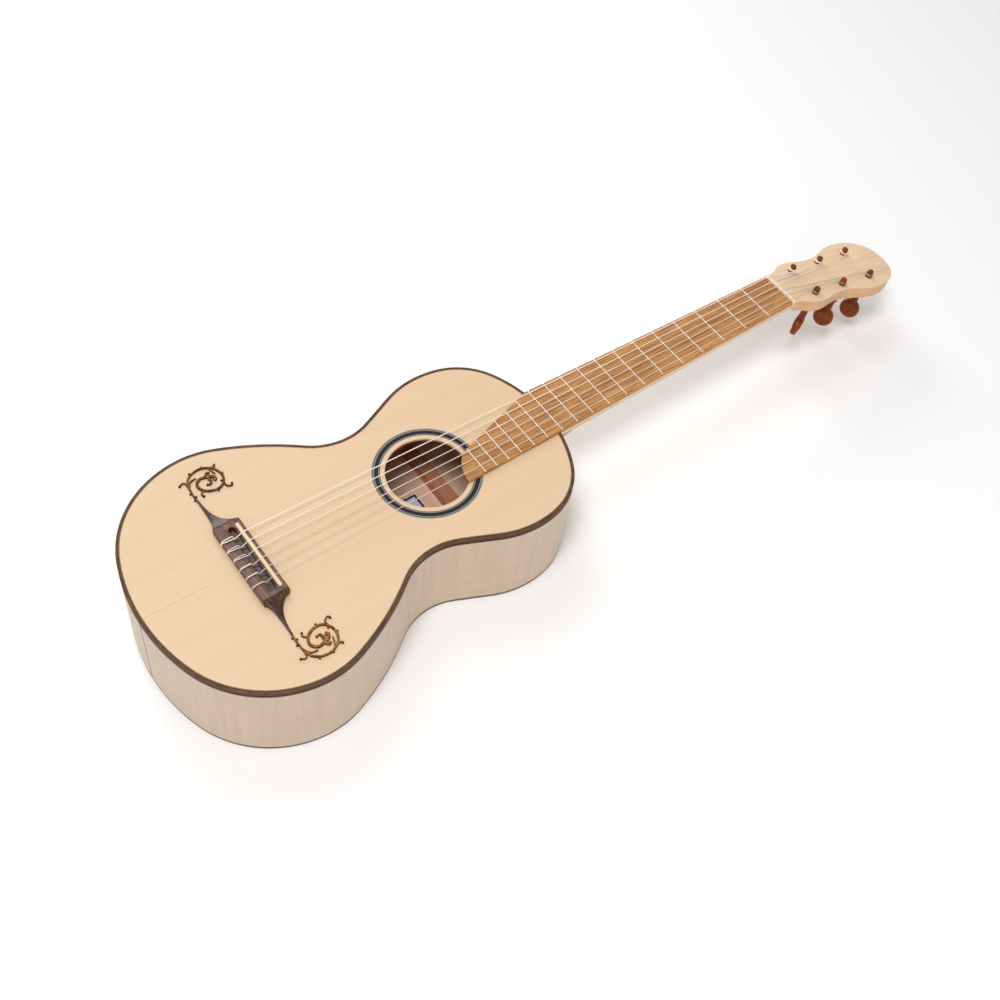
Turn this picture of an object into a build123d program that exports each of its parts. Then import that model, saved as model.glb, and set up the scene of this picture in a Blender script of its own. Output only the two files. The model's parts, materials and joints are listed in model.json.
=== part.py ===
"""Six-string parlour guitar: friction pegs, slanted fingerboard end, moustache bridge with scrolls.

Millimetres. X points to the treble side, Y from the tail to the head, Z out of the top.
The origin lies on the flat back, on the centre line, right under the saddle.
"""
from build123d import *
import os
from math import cos, pi, radians, sin, sqrt

# ---------------------------------------------------------------- driving dimensions
SCALE = 650.0            # open string length, saddle to nut
BODY_DEPTH = 107.5       # outer face of the back to outer face of the top
PLATE = 2.5              # thickness of top and back
SIDE = 2.4               # thickness of the sides, and width of both bindings

TAIL_Y = -119.9          # tail end of the body
NECK_END_Y = 326.7       # head end of the body
OUTLINE = [              # joints of the tangent arcs that run from the tail to the neck
    (65.8, -108.4), (137.1, -18.0), (131.9, 25.0), (90.4, 100.3), (82.3, 165.0),
    (97.2, 198.8), (103.6, 262.6), (66.6, 310.4), (0.0, NECK_END_Y),
]

TOP_BINDING_H = 6.0      # height of the top binding on the side
BACK_BINDING_H = 3.0
SIDE_LINE_H = 0.7        # pale line under the top binding
PURFLING_DEPTH = 1.2
PURFLING_DARK_W = 0.6
PURFLING_LIGHT_W = 0.9
GRAFT_W = 2.4            # dark strip where the sides meet at the tail

LINING_W = 5.0
LINING_H = 10.0
BRACE_INSET = SIDE + LINING_W + 0.6
NECK_BLOCK = (31.0, 290.0)       # half-width, and Y of its inner face
TAIL_BLOCK = (28.0, -101.0)
TOP_BRACES = [(-62.0, 110.0), (66.0, 102.0), (132.0, 68.0), (236.0, 97.0)]    # Y, half-length
BACK_BRACES = [(-60.0, 108.0), (84.0, 87.0), (228.0, 95.0)]
TOP_BRACE = (6.0, 14.0)          # width, height
BACK_BRACE = (15.0, 12.0)
BRACE_TIP_H = 4.0
BRACE_SLOPE = 28.0               # length of the sloped ends
LABEL = (90.0, 64.0, 0.3)
LABEL_CENTRE = (0.0, 172.0)

HOLE_Y = 183.0
HOLE_R = 41.0
ROSETTE_DEPTH = 1.2
ROSETTE_R = (45.4, 47.2, 51.2, 53.8)   # inner lines, dark ring, outer lines

NUT_LENGTH = 5.0
NUT_HALF_W = 23.0
NUT_TOP = 5.8                    # above the top of the body
BOARD_T = 3.2
BOARD_HALF_12 = 29.5             # half-width of the board where the neck meets the body
JOINT_Y = SCALE / 2
SLANT_START_Y = 321.0            # the bass edge leaves the taper here
SLANT_END_X = 0.4
BOARD_HOLE_GAP = 0.3
FRET_COUNT = 18
FRET_W = 1.7
FRET_H = 0.9
TANG_W = 0.6
TANG_H = 1.6
FRET_INSET = 0.4                 # the slanted ends run flush with the edge of the board

HEAD_ANGLE = 12.5
HEAD_Z = 110.0                   # front face of the head right behind the nut
HEAD_T = 14.0
HEAD_LENGTH = 181.0
HEAD_WIDTHS = [(23.6, 0.0), (33.0, 35.0), (28.5, 73.0), (38.8, 131.0)]   # half-width, distance
HEAD_TIP_PULL = 0.62             # how blunt the round tip is

NECK_DEPTH_BODY = 22.0
NECK_DEPTH_NUT = 18.5
NECK_FLANK = 4.0
HEEL_SECTIONS = [(PLATE, 10.5, 338.0), (45.0, 13.5, 343.0), (76.0, 20.0, 354.0), (92.0, 27.0, 384.0)]
HEEL_ROOT_Y = 316.0

PEG_SPOTS = [(19.6, 36.5), (19.8, 84.0), (21.0, 132.0)]     # across, and along the head
PEG_TURNS = [-64.0, 26.0, 20.0]                             # how the thumb discs are turned
PEG_R = 3.5                      # shaft radius at the front face of the head
PEG_TAPER = 1 / 60               # change of radius along the shaft
PEG_PLAY = 0.05                  # radial clearance in the head
PEG_TIP = 8.0
BEAD_AT = -22.0                  # height of the turned bead under the head
BEAD_R = 5.0
NECK_R = 4.3                     # shaft radius where it enters the thumb disc
DISC_R = 11.65
DISC_T = 9.4                     # thickness where the shaft enters, and at the far end
DISC_END_T = 6.4
DISC_AT = -48.0
DISC_EDGE = 1.2

BRIDGE_HALF = 46.0
BRIDGE_TOP_HALF = 44.0
BRIDGE_H = 8.0
BRIDGE_Y = (-22.5, 4.0)
WHISKER_X = 84.0                 # the ends run out to thin stems here
WHISKER_Y = -16.6
WHISKER_W = 1.8
TIE_FRONT_Y = -11.5
CHANNEL_Y = (TIE_FRONT_Y, -4.6)
CHANNEL_HALF = 39.0
CHANNEL_FLOOR = 3.0
LEDGE_H = 6.0                    # wall between the channel and the saddle
SADDLE_Y = (-3.0, 0.6)
SADDLE_HALF = 39.8
SADDLE_TOP = 10.0
TIE_HOLE_R = 1.0
TIE_HOLE_H = 4.2

SCROLL_T = 1.9

STRING_GAP_SADDLE = 11.0
STRING_GAP_NUT = 7.8
STRING_R = [0.36, 0.42, 0.5, 0.38, 0.45, 0.55]     # first string (treble) to sixth (bass)
WINDING_GAP = 0.3                # between a string's end and the turns on its peg
WINDING_TURNS = 3

TOP_Z = BODY_DEPTH
TOP_INNER_Z = BODY_DEPTH - PLATE
BOARD_Z = TOP_Z + BOARD_T
STRING_NUT_Z = TOP_Z + NUT_TOP - 0.2
STRING_SADDLE_Z = TOP_Z + SADDLE_TOP + 0.1

HEAD_DOWN = Vector(0, cos(radians(HEAD_ANGLE)), -sin(radians(HEAD_ANGLE)))
HEAD_NORMAL = Vector(0, sin(radians(HEAD_ANGLE)), cos(radians(HEAD_ANGLE)))
HEAD_ROOT = Vector(0, SCALE + NUT_LENGTH, HEAD_Z)
HEAD_PLANE = Plane(origin=HEAD_ROOT, x_dir=(1, 0, 0), z_dir=HEAD_NORMAL)

os.makedirs("parts", exist_ok=True)


def save(builder, name):
    """Label a finished piece and write it."""
    builder.part.label = name
    export_step(builder.part, f"parts/{name}.step")


# ---------------------------------------------------------------- body
def body_outline(inset=0.0, mode=Mode.ADD):
    """Draw the guitar outline, moved inwards by inset, in the current sketch."""
    with BuildLine() as edge:
        start = Vector(0, TAIL_Y)
        heading = Vector(1, 0)
        for joint in OUTLINE:
            arc = TangentArc(start, joint, tangent=heading)
            start = arc @ 1
            heading = arc % 1
        mirror(about=Plane.YZ)
    face = make_face(edge.line, mode=Mode.PRIVATE)
    if inset:
        offset(face, amount=-inset, mode=mode)
    else:
        add(face, mode=mode)


def outline_ring(outer, inner):
    """Draw the band between two insets of the outline."""
    body_outline(outer)
    body_outline(inner, mode=Mode.SUBTRACT)


def centre_strip(half_width, low_y, high_y, mode):
    """Draw a band along the centre line between two Y stations."""
    with Locations((0, (low_y + high_y) / 2)):
        Rectangle(2 * half_width, high_y - low_y, mode=mode)


with BuildPart() as top_plate:
    with BuildSketch(Plane.XY.offset(TOP_INNER_Z)):
        body_outline(SIDE)
        with Locations((0, HOLE_Y)):
            Circle(HOLE_R, mode=Mode.SUBTRACT)
    extrude(amount=PLATE)
    with BuildSketch(Plane.XY.offset(TOP_Z - PURFLING_DEPTH)):
        outline_ring(SIDE, SIDE + PURFLING_DARK_W + PURFLING_LIGHT_W)
        with Locations((0, HOLE_Y)):
            Circle(ROSETTE_R[3])
            Circle(ROSETTE_R[0], mode=Mode.SUBTRACT)
    extrude(amount=PURFLING_DEPTH, mode=Mode.SUBTRACT)
save(top_plate, "top_plate")

with BuildPart() as back_plate:
    with BuildSketch():
        body_outline(SIDE)
    extrude(amount=PLATE)
save(back_plate, "back_plate")

SIDE_TOP_Z = TOP_Z - TOP_BINDING_H - SIDE_LINE_H
for side_name, keep in (("side_treble", Keep.TOP), ("side_bass", Keep.BOTTOM)):
    with BuildPart() as side:
        with BuildSketch(Plane.XY.offset(BACK_BINDING_H)):
            outline_ring(0, SIDE)
            centre_strip(GRAFT_W / 2, TAIL_Y - 1, TAIL_Y + 2 * SIDE, Mode.SUBTRACT)
        extrude(amount=SIDE_TOP_Z - BACK_BINDING_H)
        split(bisect_by=Plane.YZ, keep=keep)
    save(side, side_name)

with BuildPart() as tail_graft:
    with BuildSketch(Plane.XY.offset(BACK_BINDING_H)):
        outline_ring(0, SIDE)
        centre_strip(GRAFT_W / 2, TAIL_Y - 1, TAIL_Y + 2 * SIDE, Mode.INTERSECT)
    extrude(amount=SIDE_TOP_Z - BACK_BINDING_H)
save(tail_graft, "tail_graft")

RINGS = [                # name, outer inset, inner inset, low Z, high Z
    ("back_binding", 0, SIDE, 0, BACK_BINDING_H),
    ("side_line", 0, SIDE, SIDE_TOP_Z, TOP_Z - TOP_BINDING_H),
    ("top_binding", 0, SIDE, TOP_Z - TOP_BINDING_H, TOP_Z),
    ("purfling_dark", SIDE, SIDE + PURFLING_DARK_W, TOP_Z - PURFLING_DEPTH, TOP_Z),
    ("purfling_light", SIDE + PURFLING_DARK_W, SIDE + PURFLING_DARK_W + PURFLING_LIGHT_W,
     TOP_Z - PURFLING_DEPTH, TOP_Z),
]
for ring_name, outer_inset, inner_inset, low_z, high_z in RINGS:
    with BuildPart() as ring:
        with BuildSketch(Plane.XY.offset(low_z)):
            outline_ring(outer_inset, inner_inset)
        extrude(amount=high_z - low_z)
    save(ring, ring_name)

for lining_name, low_z in (("back_lining", PLATE), ("top_lining", TOP_INNER_Z - LINING_H)):
    with BuildPart() as lining:
        with BuildSketch(Plane.XY.offset(low_z)):
            outline_ring(SIDE, SIDE + LINING_W)
            centre_strip(NECK_BLOCK[0], NECK_BLOCK[1], NECK_END_Y, Mode.SUBTRACT)
            centre_strip(TAIL_BLOCK[0], TAIL_Y, TAIL_BLOCK[1], Mode.SUBTRACT)
        extrude(amount=LINING_H)
    save(lining, lining_name)

BLOCKS = [
    ("neck_block", NECK_BLOCK[0], NECK_BLOCK[1], NECK_END_Y),
    ("tail_block", TAIL_BLOCK[0], TAIL_Y, TAIL_BLOCK[1]),
]
for block_name, half_width, low_y, high_y in BLOCKS:
    with BuildPart() as block:
        with BuildSketch(Plane.XY.offset(PLATE)):
            body_outline(SIDE)
            centre_strip(half_width, low_y, high_y, Mode.INTERSECT)
        extrude(amount=TOP_INNER_Z - PLATE)
    save(block, block_name)


def brace_profile(half_length, height):
    """Draw a bar standing on the X axis whose ends slope down to thin tips."""
    slope_start = half_length - BRACE_SLOPE
    with BuildLine() as edge:
        Polyline(
            (-half_length, 0), (half_length, 0), (half_length, BRACE_TIP_H), (slope_start, height),
            (-slope_start, height), (-half_length, BRACE_TIP_H), close=True,
        )
    make_face(edge.line)


for number, (brace_y, half_length) in enumerate(TOP_BRACES, 1):
    brace_plane = Plane(origin=(0, brace_y, TOP_INNER_Z), x_dir=(1, 0, 0), z_dir=(0, 1, 0))
    with BuildPart() as brace:
        with BuildSketch(brace_plane):
            brace_profile(half_length, TOP_BRACE[1])
        extrude(amount=TOP_BRACE[0] / 2, both=True)
    save(brace, f"top_brace_{number}")

for number, (brace_y, half_length) in enumerate(BACK_BRACES, 1):
    brace_plane = Plane(origin=(0, brace_y, PLATE), x_dir=(1, 0, 0), z_dir=(0, -1, 0))
    with BuildPart() as brace:
        with BuildSketch(brace_plane):
            brace_profile(half_length, BACK_BRACE[1])
        extrude(amount=BACK_BRACE[0] / 2, both=True)
    save(brace, f"back_brace_{number}")

PATCH = (170.0, 34.0, 2.5)
with BuildPart() as bridge_patch:
    with BuildSketch(Plane.XY.offset(TOP_INNER_Z - PATCH[2])):
        with Locations((0, sum(BRIDGE_Y) / 2)):
            RectangleRounded(PATCH[0], PATCH[1], 4)
    extrude(amount=PATCH[2])
save(bridge_patch, "bridge_patch")

with BuildPart() as label:
    with BuildSketch(Plane.XY.offset(PLATE)):
        with Locations(LABEL_CENTRE):
            Rectangle(LABEL[0], LABEL[1])
    extrude(amount=LABEL[2])
save(label, "label")

ROSETTE_NAMES = ["rosette_inner_lines", "rosette_ring", "rosette_outer_lines"]
for ring_name, inner_r, outer_r in zip(ROSETTE_NAMES, ROSETTE_R, ROSETTE_R[1:]):
    with BuildPart() as rosette:
        with BuildSketch(Plane.XY.offset(TOP_Z - ROSETTE_DEPTH)):
            with Locations((0, HOLE_Y)):
                Circle(outer_r)
                Circle(inner_r, mode=Mode.SUBTRACT)
        extrude(amount=ROSETTE_DEPTH)
    save(rosette, ring_name)


# ---------------------------------------------------------------- neck and head
def board_half(y):
    """Half-width of the tapered fingerboard at a Y station."""
    return NUT_HALF_W + (BOARD_HALF_12 - NUT_HALF_W) * (SCALE - y) / (SCALE - JOINT_Y)


def neck_section(half_width, depth):
    """Draw a flat-topped D that hangs below the top of the body."""
    with BuildLine() as edge:
        Line((half_width, TOP_Z), (-half_width, TOP_Z))
        Line((-half_width, TOP_Z), (-half_width, TOP_Z - NECK_FLANK))
        EllipticalCenterArc((0, TOP_Z - NECK_FLANK), half_width, depth - NECK_FLANK, 180, arc_size=180)
        Line((half_width, TOP_Z - NECK_FLANK), (half_width, TOP_Z))
    make_face(edge.line)


def heel_section(half_width, front_y):
    """Draw the round-fronted section of the heel."""
    with BuildLine() as edge:
        EllipticalCenterArc((0, HEEL_ROOT_Y), half_width, front_y - HEEL_ROOT_Y, 0, arc_size=180)
        Line((-half_width, HEEL_ROOT_Y), (half_width, HEEL_ROOT_Y))
    make_face(edge.line)


VOLUTE_Y = SCALE - 22.0
HEAD_BACK_Z = HEAD_Z - HEAD_T / cos(radians(HEAD_ANGLE))
NECK_SHAFT = [           # Y, depth below the top of the body
    [(HEEL_ROOT_Y, NECK_DEPTH_BODY), (VOLUTE_Y, NECK_DEPTH_NUT)],
    [(VOLUTE_Y, NECK_DEPTH_NUT), (SCALE + NUT_LENGTH, TOP_Z - HEAD_BACK_Z)],
]
with BuildPart() as neck:
    for span in NECK_SHAFT:
        for section_y, depth in span:
            with BuildSketch(Plane.XZ.offset(-section_y)):
                neck_section(board_half(section_y), depth)
        loft()
    for section_z, half_width, front_y in HEEL_SECTIONS:
        with BuildSketch(Plane.XY.offset(section_z)):
            heel_section(half_width, front_y)
    loft()
    with BuildSketch():
        body_outline()
    extrude(amount=TOP_Z, mode=Mode.SUBTRACT)
save(neck, "neck")

with BuildPart() as heel_cap:
    with BuildSketch():
        heel_section(HEEL_SECTIONS[0][1], HEEL_SECTIONS[0][2])
        body_outline(mode=Mode.SUBTRACT)
    extrude(amount=PLATE)
save(heel_cap, "heel_cap")


def head_edge():
    """Draw the treble edge of the head: two swellings with a waist, then the round tip."""
    for (low_w, low_s), (high_w, high_s) in zip(HEAD_WIDTHS, HEAD_WIDTHS[1:]):
        reach = 0.45 * (high_s - low_s)
        Bezier((low_w, low_s), (low_w, low_s + reach), (high_w, high_s - reach), (high_w, high_s))
    wide, wide_s = HEAD_WIDTHS[-1]
    tip_s = wide_s + HEAD_TIP_PULL * (HEAD_LENGTH - wide_s)
    Bezier((wide, wide_s), (wide, tip_s), (HEAD_TIP_PULL * wide, HEAD_LENGTH), (0, HEAD_LENGTH))
    Line((0, -HEAD_T), (HEAD_WIDTHS[0][0], -HEAD_T))
    Line((HEAD_WIDTHS[0][0], -HEAD_T), HEAD_WIDTHS[0])


with BuildPart() as headstock:
    with BuildSketch(HEAD_PLANE):
        with BuildLine():
            head_edge()
            mirror(about=Plane.YZ)
        make_face()
    extrude(amount=-HEAD_T)
    split(bisect_by=Plane.XZ.offset(-(SCALE + NUT_LENGTH)), keep=Keep.BOTTOM)
    for across, along in PEG_SPOTS:
        for sign in (-1, 1):
            with BuildSketch(HEAD_PLANE.offset(1)):
                with Locations((sign * across, along)):
                    Circle(PEG_R + PEG_PLAY - PEG_TAPER)
            with BuildSketch(HEAD_PLANE.offset(-HEAD_T - 1)):
                with Locations((sign * across, along)):
                    Circle(PEG_R + PEG_PLAY + PEG_TAPER * (HEAD_T + 1))
            loft(mode=Mode.SUBTRACT)
save(headstock, "headstock")


# ---------------------------------------------------------------- strings
def string_x(number, gap):
    """X of a string, the first on the treble side, for the gap between neighbours."""
    return (3.5 - number) * gap


def peg_spot(number):
    """Signed place of a string's peg on the head, and its row from the nut."""
    row = min(number, 7 - number) - 1
    sign = 1 if number <= 3 else -1
    return sign * PEG_SPOTS[row][0], PEG_SPOTS[row][1], row


def head_point(across, along, above):
    """Point over the head's front face."""
    return HEAD_ROOT + Vector(across, 0, 0) + HEAD_DOWN * along + HEAD_NORMAL * above


def winding_r(number):
    """Outer radius of the turns that a string makes on its peg."""
    return PEG_R + 2 * STRING_R[number - 1]


WINDING_LOW = 1.4
TIE_LOOP_X = 1.5


def string_points(number):
    """Route of a string: peg, nut, saddle, tie block hole, and the loop back over the block."""
    r = STRING_R[number - 1]
    across, along, _ = peg_spot(number)
    sign = 1 if across > 0 else -1
    end_x = across - sign * (winding_r(number) + r + WINDING_GAP)
    x = string_x(number, STRING_GAP_SADDLE)
    hole_z = TOP_Z + TIE_HOLE_H
    loop_z = TOP_Z + BRIDGE_H + r + 0.15
    back_y = BRIDGE_Y[0] - r - 0.15
    front_y = TIE_FRONT_Y + r + 0.3
    return [
        head_point(end_x, along, WINDING_LOW + WINDING_TURNS * r),
        Vector(string_x(number, STRING_GAP_NUT), SCALE + NUT_LENGTH / 2, STRING_NUT_Z),
        Vector(x, sum(SADDLE_Y) / 2, STRING_SADDLE_Z),
        Vector(x, TIE_FRONT_Y + 1.0, hole_z),
        Vector(x, back_y, hole_z),
        Vector(x + TIE_LOOP_X / 2, back_y, loop_z),
        Vector(x + TIE_LOOP_X, front_y, loop_z),
        Vector(x + TIE_LOOP_X, front_y + 0.4, hole_z + 1.6),
    ]


STRING_BENDS = [12.0, 1.6, 1.2, 0.9, 0.9, 0.9]
strings = []
for number, r in enumerate(STRING_R, 1):
    with BuildPart() as string:
        with BuildLine() as route:
            FilletPolyline(*string_points(number), radius=STRING_BENDS)
        with BuildSketch(Plane(origin=route.line @ 0, z_dir=route.line % 0)):
            Circle(r)
        sweep()
    length = sum(edge.length for edge in route.edges())
    print(f"string_{number}: {length:.1f} mm, fill {string.part.volume / (pi * r * r * length):.4f}")
    strings.append(string.part)
    save(string, f"string_{number}")


# ---------------------------------------------------------------- fingerboard, frets, nut
def slant_x(y):
    """X of the straight slanted bass edge over the body."""
    end_y = HOLE_Y + HOLE_R
    start_x = -board_half(SLANT_START_Y)
    return start_x + (SLANT_END_X - start_x) * (SLANT_START_Y - y) / (SLANT_START_Y - end_y)


def fret_ends(y):
    """X of a fret's bass and treble ends."""
    treble_x = board_half(y) - FRET_INSET
    bass_x = -treble_x
    if y < SLANT_START_Y:
        bass_x = slant_x(y)
    return bass_x, treble_x


def fret_profile(y):
    """Draw the crown of a fret and the tang below it."""
    with Locations((y, BOARD_Z - TANG_H / 2)):
        Rectangle(TANG_W, TANG_H)
    with BuildLine() as edge:
        ThreePointArc(
            (y - FRET_W / 2, BOARD_Z), (y, BOARD_Z + FRET_H), (y + FRET_W / 2, BOARD_Z)
        )
        Line((y - FRET_W / 2, BOARD_Z), (y + FRET_W / 2, BOARD_Z))
    make_face(edge.line)


with BuildPart() as frets:
    for fret in range(1, FRET_COUNT + 1):
        fret_y = SCALE * 2 ** (-fret / 12)
        bass_x, treble_x = fret_ends(fret_y)
        with BuildSketch(Plane.YZ.offset(bass_x)):
            fret_profile(fret_y)
        extrude(amount=treble_x - bass_x)
save(frets, "frets")

BOARD_END_R = HOLE_R + BOARD_HOLE_GAP
BOARD_END_X = board_half(HOLE_Y + 25.0)
with BuildPart() as fingerboard:
    with BuildSketch(Plane.XY.offset(TOP_Z)):
        corner = Vector(BOARD_END_X, HOLE_Y + sqrt(BOARD_END_R ** 2 - BOARD_END_X ** 2))
        tongue = Vector(SLANT_END_X, HOLE_Y + sqrt(BOARD_END_R ** 2 - SLANT_END_X ** 2))
        with BuildLine():
            Polyline(
                tongue, (-board_half(SLANT_START_Y), SLANT_START_Y), (-NUT_HALF_W, SCALE),
                (NUT_HALF_W, SCALE), corner,
            )
            RadiusArc(corner, tongue, BOARD_END_R)
        make_face()
    extrude(amount=BOARD_T)
    add(frets.part, mode=Mode.SUBTRACT)
save(fingerboard, "fingerboard")

with BuildPart() as nut:
    with BuildSketch(Plane.YZ):
        with BuildLine():
            Polyline(
                (SCALE, TOP_Z), (SCALE + NUT_LENGTH, TOP_Z), (SCALE + NUT_LENGTH, HEAD_Z + 1.2),
                (SCALE + 1, TOP_Z + NUT_TOP), (SCALE, TOP_Z + NUT_TOP), close=True,
            )
        make_face()
    extrude(amount=NUT_HALF_W, both=True)
    for string_part in strings:
        add(string_part, mode=Mode.SUBTRACT)
save(nut, "nut")


# ---------------------------------------------------------------- bridge
def bridge_plan():
    """Draw the treble half of the bridge seen from above."""
    low_y, high_y = BRIDGE_Y
    stem_low = WHISKER_Y - WHISKER_W / 2
    stem_high = WHISKER_Y + WHISKER_W / 2
    Line((0, low_y), (BRIDGE_HALF, low_y))
    Bezier((BRIDGE_HALF, low_y), (BRIDGE_HALF + 4, stem_low), (62, stem_low), (WHISKER_X, stem_low))
    Line((WHISKER_X, stem_low), (WHISKER_X, stem_high))
    Bezier((WHISKER_X, stem_high), (66, stem_high), (BRIDGE_HALF + 4, -10.5), (BRIDGE_HALF, high_y))
    Line((BRIDGE_HALF, high_y), (0, high_y))


def bridge_elevation():
    """Draw the treble half of the bridge seen from the tail."""
    top = TOP_Z + BRIDGE_H
    tip = TOP_Z + SCROLL_T + 0.3
    Line((0, TOP_Z), (WHISKER_X, TOP_Z))
    Line((WHISKER_X, TOP_Z), (WHISKER_X, tip))
    Bezier((WHISKER_X, tip), (62, tip), (BRIDGE_TOP_HALF + 4, TOP_Z + 4.5), (BRIDGE_TOP_HALF, top))
    Line((BRIDGE_TOP_HALF, top), (0, top))


with BuildPart() as bridge:
    with BuildSketch(Plane.XY.offset(TOP_Z)):
        with BuildLine():
            bridge_plan()
            mirror(about=Plane.YZ)
        make_face()
    extrude(amount=BRIDGE_H)
    with BuildSketch(Plane.XZ.offset(-BRIDGE_Y[0])):
        with BuildLine():
            bridge_elevation()
            mirror(about=Plane.YZ)
        make_face()
    extrude(amount=-(BRIDGE_Y[1] - BRIDGE_Y[0]), mode=Mode.INTERSECT)
    with BuildSketch(Plane.XY.offset(TOP_Z + CHANNEL_FLOOR)):
        with Locations((0, sum(CHANNEL_Y) / 2)):
            SlotOverall(2 * CHANNEL_HALF, CHANNEL_Y[1] - CHANNEL_Y[0])
        with Locations((0, sum(SADDLE_Y) / 2)):
            SlotOverall(2 * SADDLE_HALF, SADDLE_Y[1] - SADDLE_Y[0])
    extrude(amount=BRIDGE_H, mode=Mode.SUBTRACT)
    with BuildSketch(Plane.XY.offset(TOP_Z + LEDGE_H)):
        with Locations((0, (CHANNEL_Y[1] + SADDLE_Y[0]) / 2)):
            Rectangle(2 * CHANNEL_HALF - CHANNEL_Y[1] + CHANNEL_Y[0], 2.4)
    extrude(amount=BRIDGE_H, mode=Mode.SUBTRACT)
    with BuildSketch(Plane.XZ.offset(-BRIDGE_Y[0] + 1)):
        for number in range(1, 7):
            with Locations((string_x(number, STRING_GAP_SADDLE), TOP_Z + TIE_HOLE_H)):
                Circle(TIE_HOLE_R)
    extrude(amount=-(TIE_FRONT_Y - BRIDGE_Y[0] + 2), mode=Mode.SUBTRACT)
save(bridge, "bridge")

with BuildPart() as saddle:
    with BuildSketch(Plane.XY.offset(TOP_Z + CHANNEL_FLOOR)):
        with Locations((0, sum(SADDLE_Y) / 2)):
            SlotOverall(2 * SADDLE_HALF, SADDLE_Y[1] - SADDLE_Y[0])
    extrude(amount=SADDLE_TOP - CHANNEL_FLOOR)
    fillet(saddle.edges().group_by(Axis.Z)[-1], radius=1.0)
    for string_part in strings:
        add(string_part, mode=Mode.SUBTRACT)
save(saddle, "saddle")


# ---------------------------------------------------------------- scrolls
STEM = [
    (WHISKER_X - 1, WHISKER_Y), (92.0, -17.0), (103.5, -16.3), (108.8, -17.1), (109.8, -19.7), (108.2, -22.5),
]
COIL = [(101.7, -15.9), (110.5, -13.1), (115.4, -5.9), (116.2, 4.0), (111.0, 13.1), (102.0, 17.2),
        (93.3, 15.3), (88.0, 8.7), (88.8, -0.1), (93.7, -6.8), (100.9, -8.5), (105.9, -3.5),
        (104.8, 3.9), (103.2, 8.1), (99.6, 10.1), (97.8, 7.7)]
STEM_W = 2.3
TENDRIL_W = 1.5
TENDRILS = [             # thin curls and leaves that leave the stem and the coil
    [(104.2, 4.5), (99.1, 4.7), (96.0, 3.3), (96.6, 0.3)],
    [(104.4, 4.3), (106.8, 4.1), (109.0, 5.7), (108.2, 7.3)],
    [(103.0, -15.7), (107.4, -11.9), (108.8, -5.6)],
    [(113.8, 9.1), (108.4, 10.9), (104.2, 12.1)],
    [(93.0, 15.1), (88.0, 14.3), (85.2, 16.4), (84.4, 19.3), (86.4, 20.2)],
    [(92.4, -5.5), (91.0, -8.7), (89.0, -10.1), (86.8, -8.9)],
    [(113.9, 8.7), (112.4, 13.1), (112.4, 15.9), (113.8, 16.3)],
]
BUDS = [(85.6, 5.9), (94.3, 13.4), (101.4, 18.5), (117.4, 4.8), (116.4, -8.5), (95.1, -18.5),
        (89.8, -15.3), (86.6, -18.3)]
BUD_R = 1.3

for scroll_name, sign in (("scroll_treble", 1), ("scroll_bass", -1)):
    with BuildPart() as scroll:
        with BuildSketch(Plane.XY.offset(TOP_Z)):
            for stroke, width in [(STEM, STEM_W), (COIL, STEM_W)] + [(curl, TENDRIL_W) for curl in TENDRILS]:
                with BuildLine() as stroke_line:
                    Spline(*[(sign * x, y) for x, y in stroke])
                trace(line_width=width)
            for bud_x, bud_y in BUDS + [curl[-1] for curl in TENDRILS] + [STEM[-1]]:
                with Locations((sign * bud_x, bud_y)):
                    Circle(BUD_R)
            centre_strip(WHISKER_X, -30, 0, Mode.SUBTRACT)
        extrude(amount=SCROLL_T)
    save(scroll, scroll_name)


# ---------------------------------------------------------------- pegs
def peg_plane(number):
    """Plane through a peg's axis: local Y leaves the head's front face, X lies in the disc."""
    across, along, row = peg_spot(number)
    turn = radians(PEG_TURNS[row] if across > 0 else -PEG_TURNS[row])
    disc_dir = Vector(cos(turn), 0, 0) + HEAD_DOWN * sin(turn)
    return Plane(origin=head_point(across, along, 0), x_dir=disc_dir, z_dir=disc_dir.cross(HEAD_NORMAL))


def peg_r(height):
    """Radius of the tapered shaft at a height over the head's front face."""
    return PEG_R - PEG_TAPER * height


def shaft_profile():
    """Draw half of the turned peg from the front tip down into the thumb disc."""
    bead_top = BEAD_AT + 1.7
    bead_low = BEAD_AT - 1.7
    disc_in = DISC_AT + DISC_R - 4
    with BuildLine() as edge:
        Polyline((0, PEG_TIP), (peg_r(PEG_TIP) - 0.8, PEG_TIP), (peg_r(PEG_TIP), PEG_TIP - 0.8),
                 (peg_r(bead_top), bead_top))
        ThreePointArc((peg_r(bead_top), bead_top), (BEAD_R, BEAD_AT), (peg_r(bead_top), bead_low))
        Bezier((peg_r(bead_top), bead_low), (3.6, BEAD_AT - 7), (3.8, disc_in + 8), (NECK_R, disc_in))
        Polyline((NECK_R, disc_in), (0, disc_in), (0, PEG_TIP))
    make_face(edge.line)


def disc_wedge():
    """Draw the thumb disc seen edge-on: it thins towards its far end."""
    top = DISC_AT + DISC_R + 1
    end = DISC_AT - DISC_R - 1
    with BuildLine() as edge:
        Polyline(
            (-DISC_T / 2, top), (DISC_T / 2, top), (DISC_T / 2, DISC_AT + 3), (DISC_END_T / 2, end),
            (-DISC_END_T / 2, end), (-DISC_T / 2, DISC_AT + 3), close=True,
        )
    make_face(edge.line)


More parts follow.
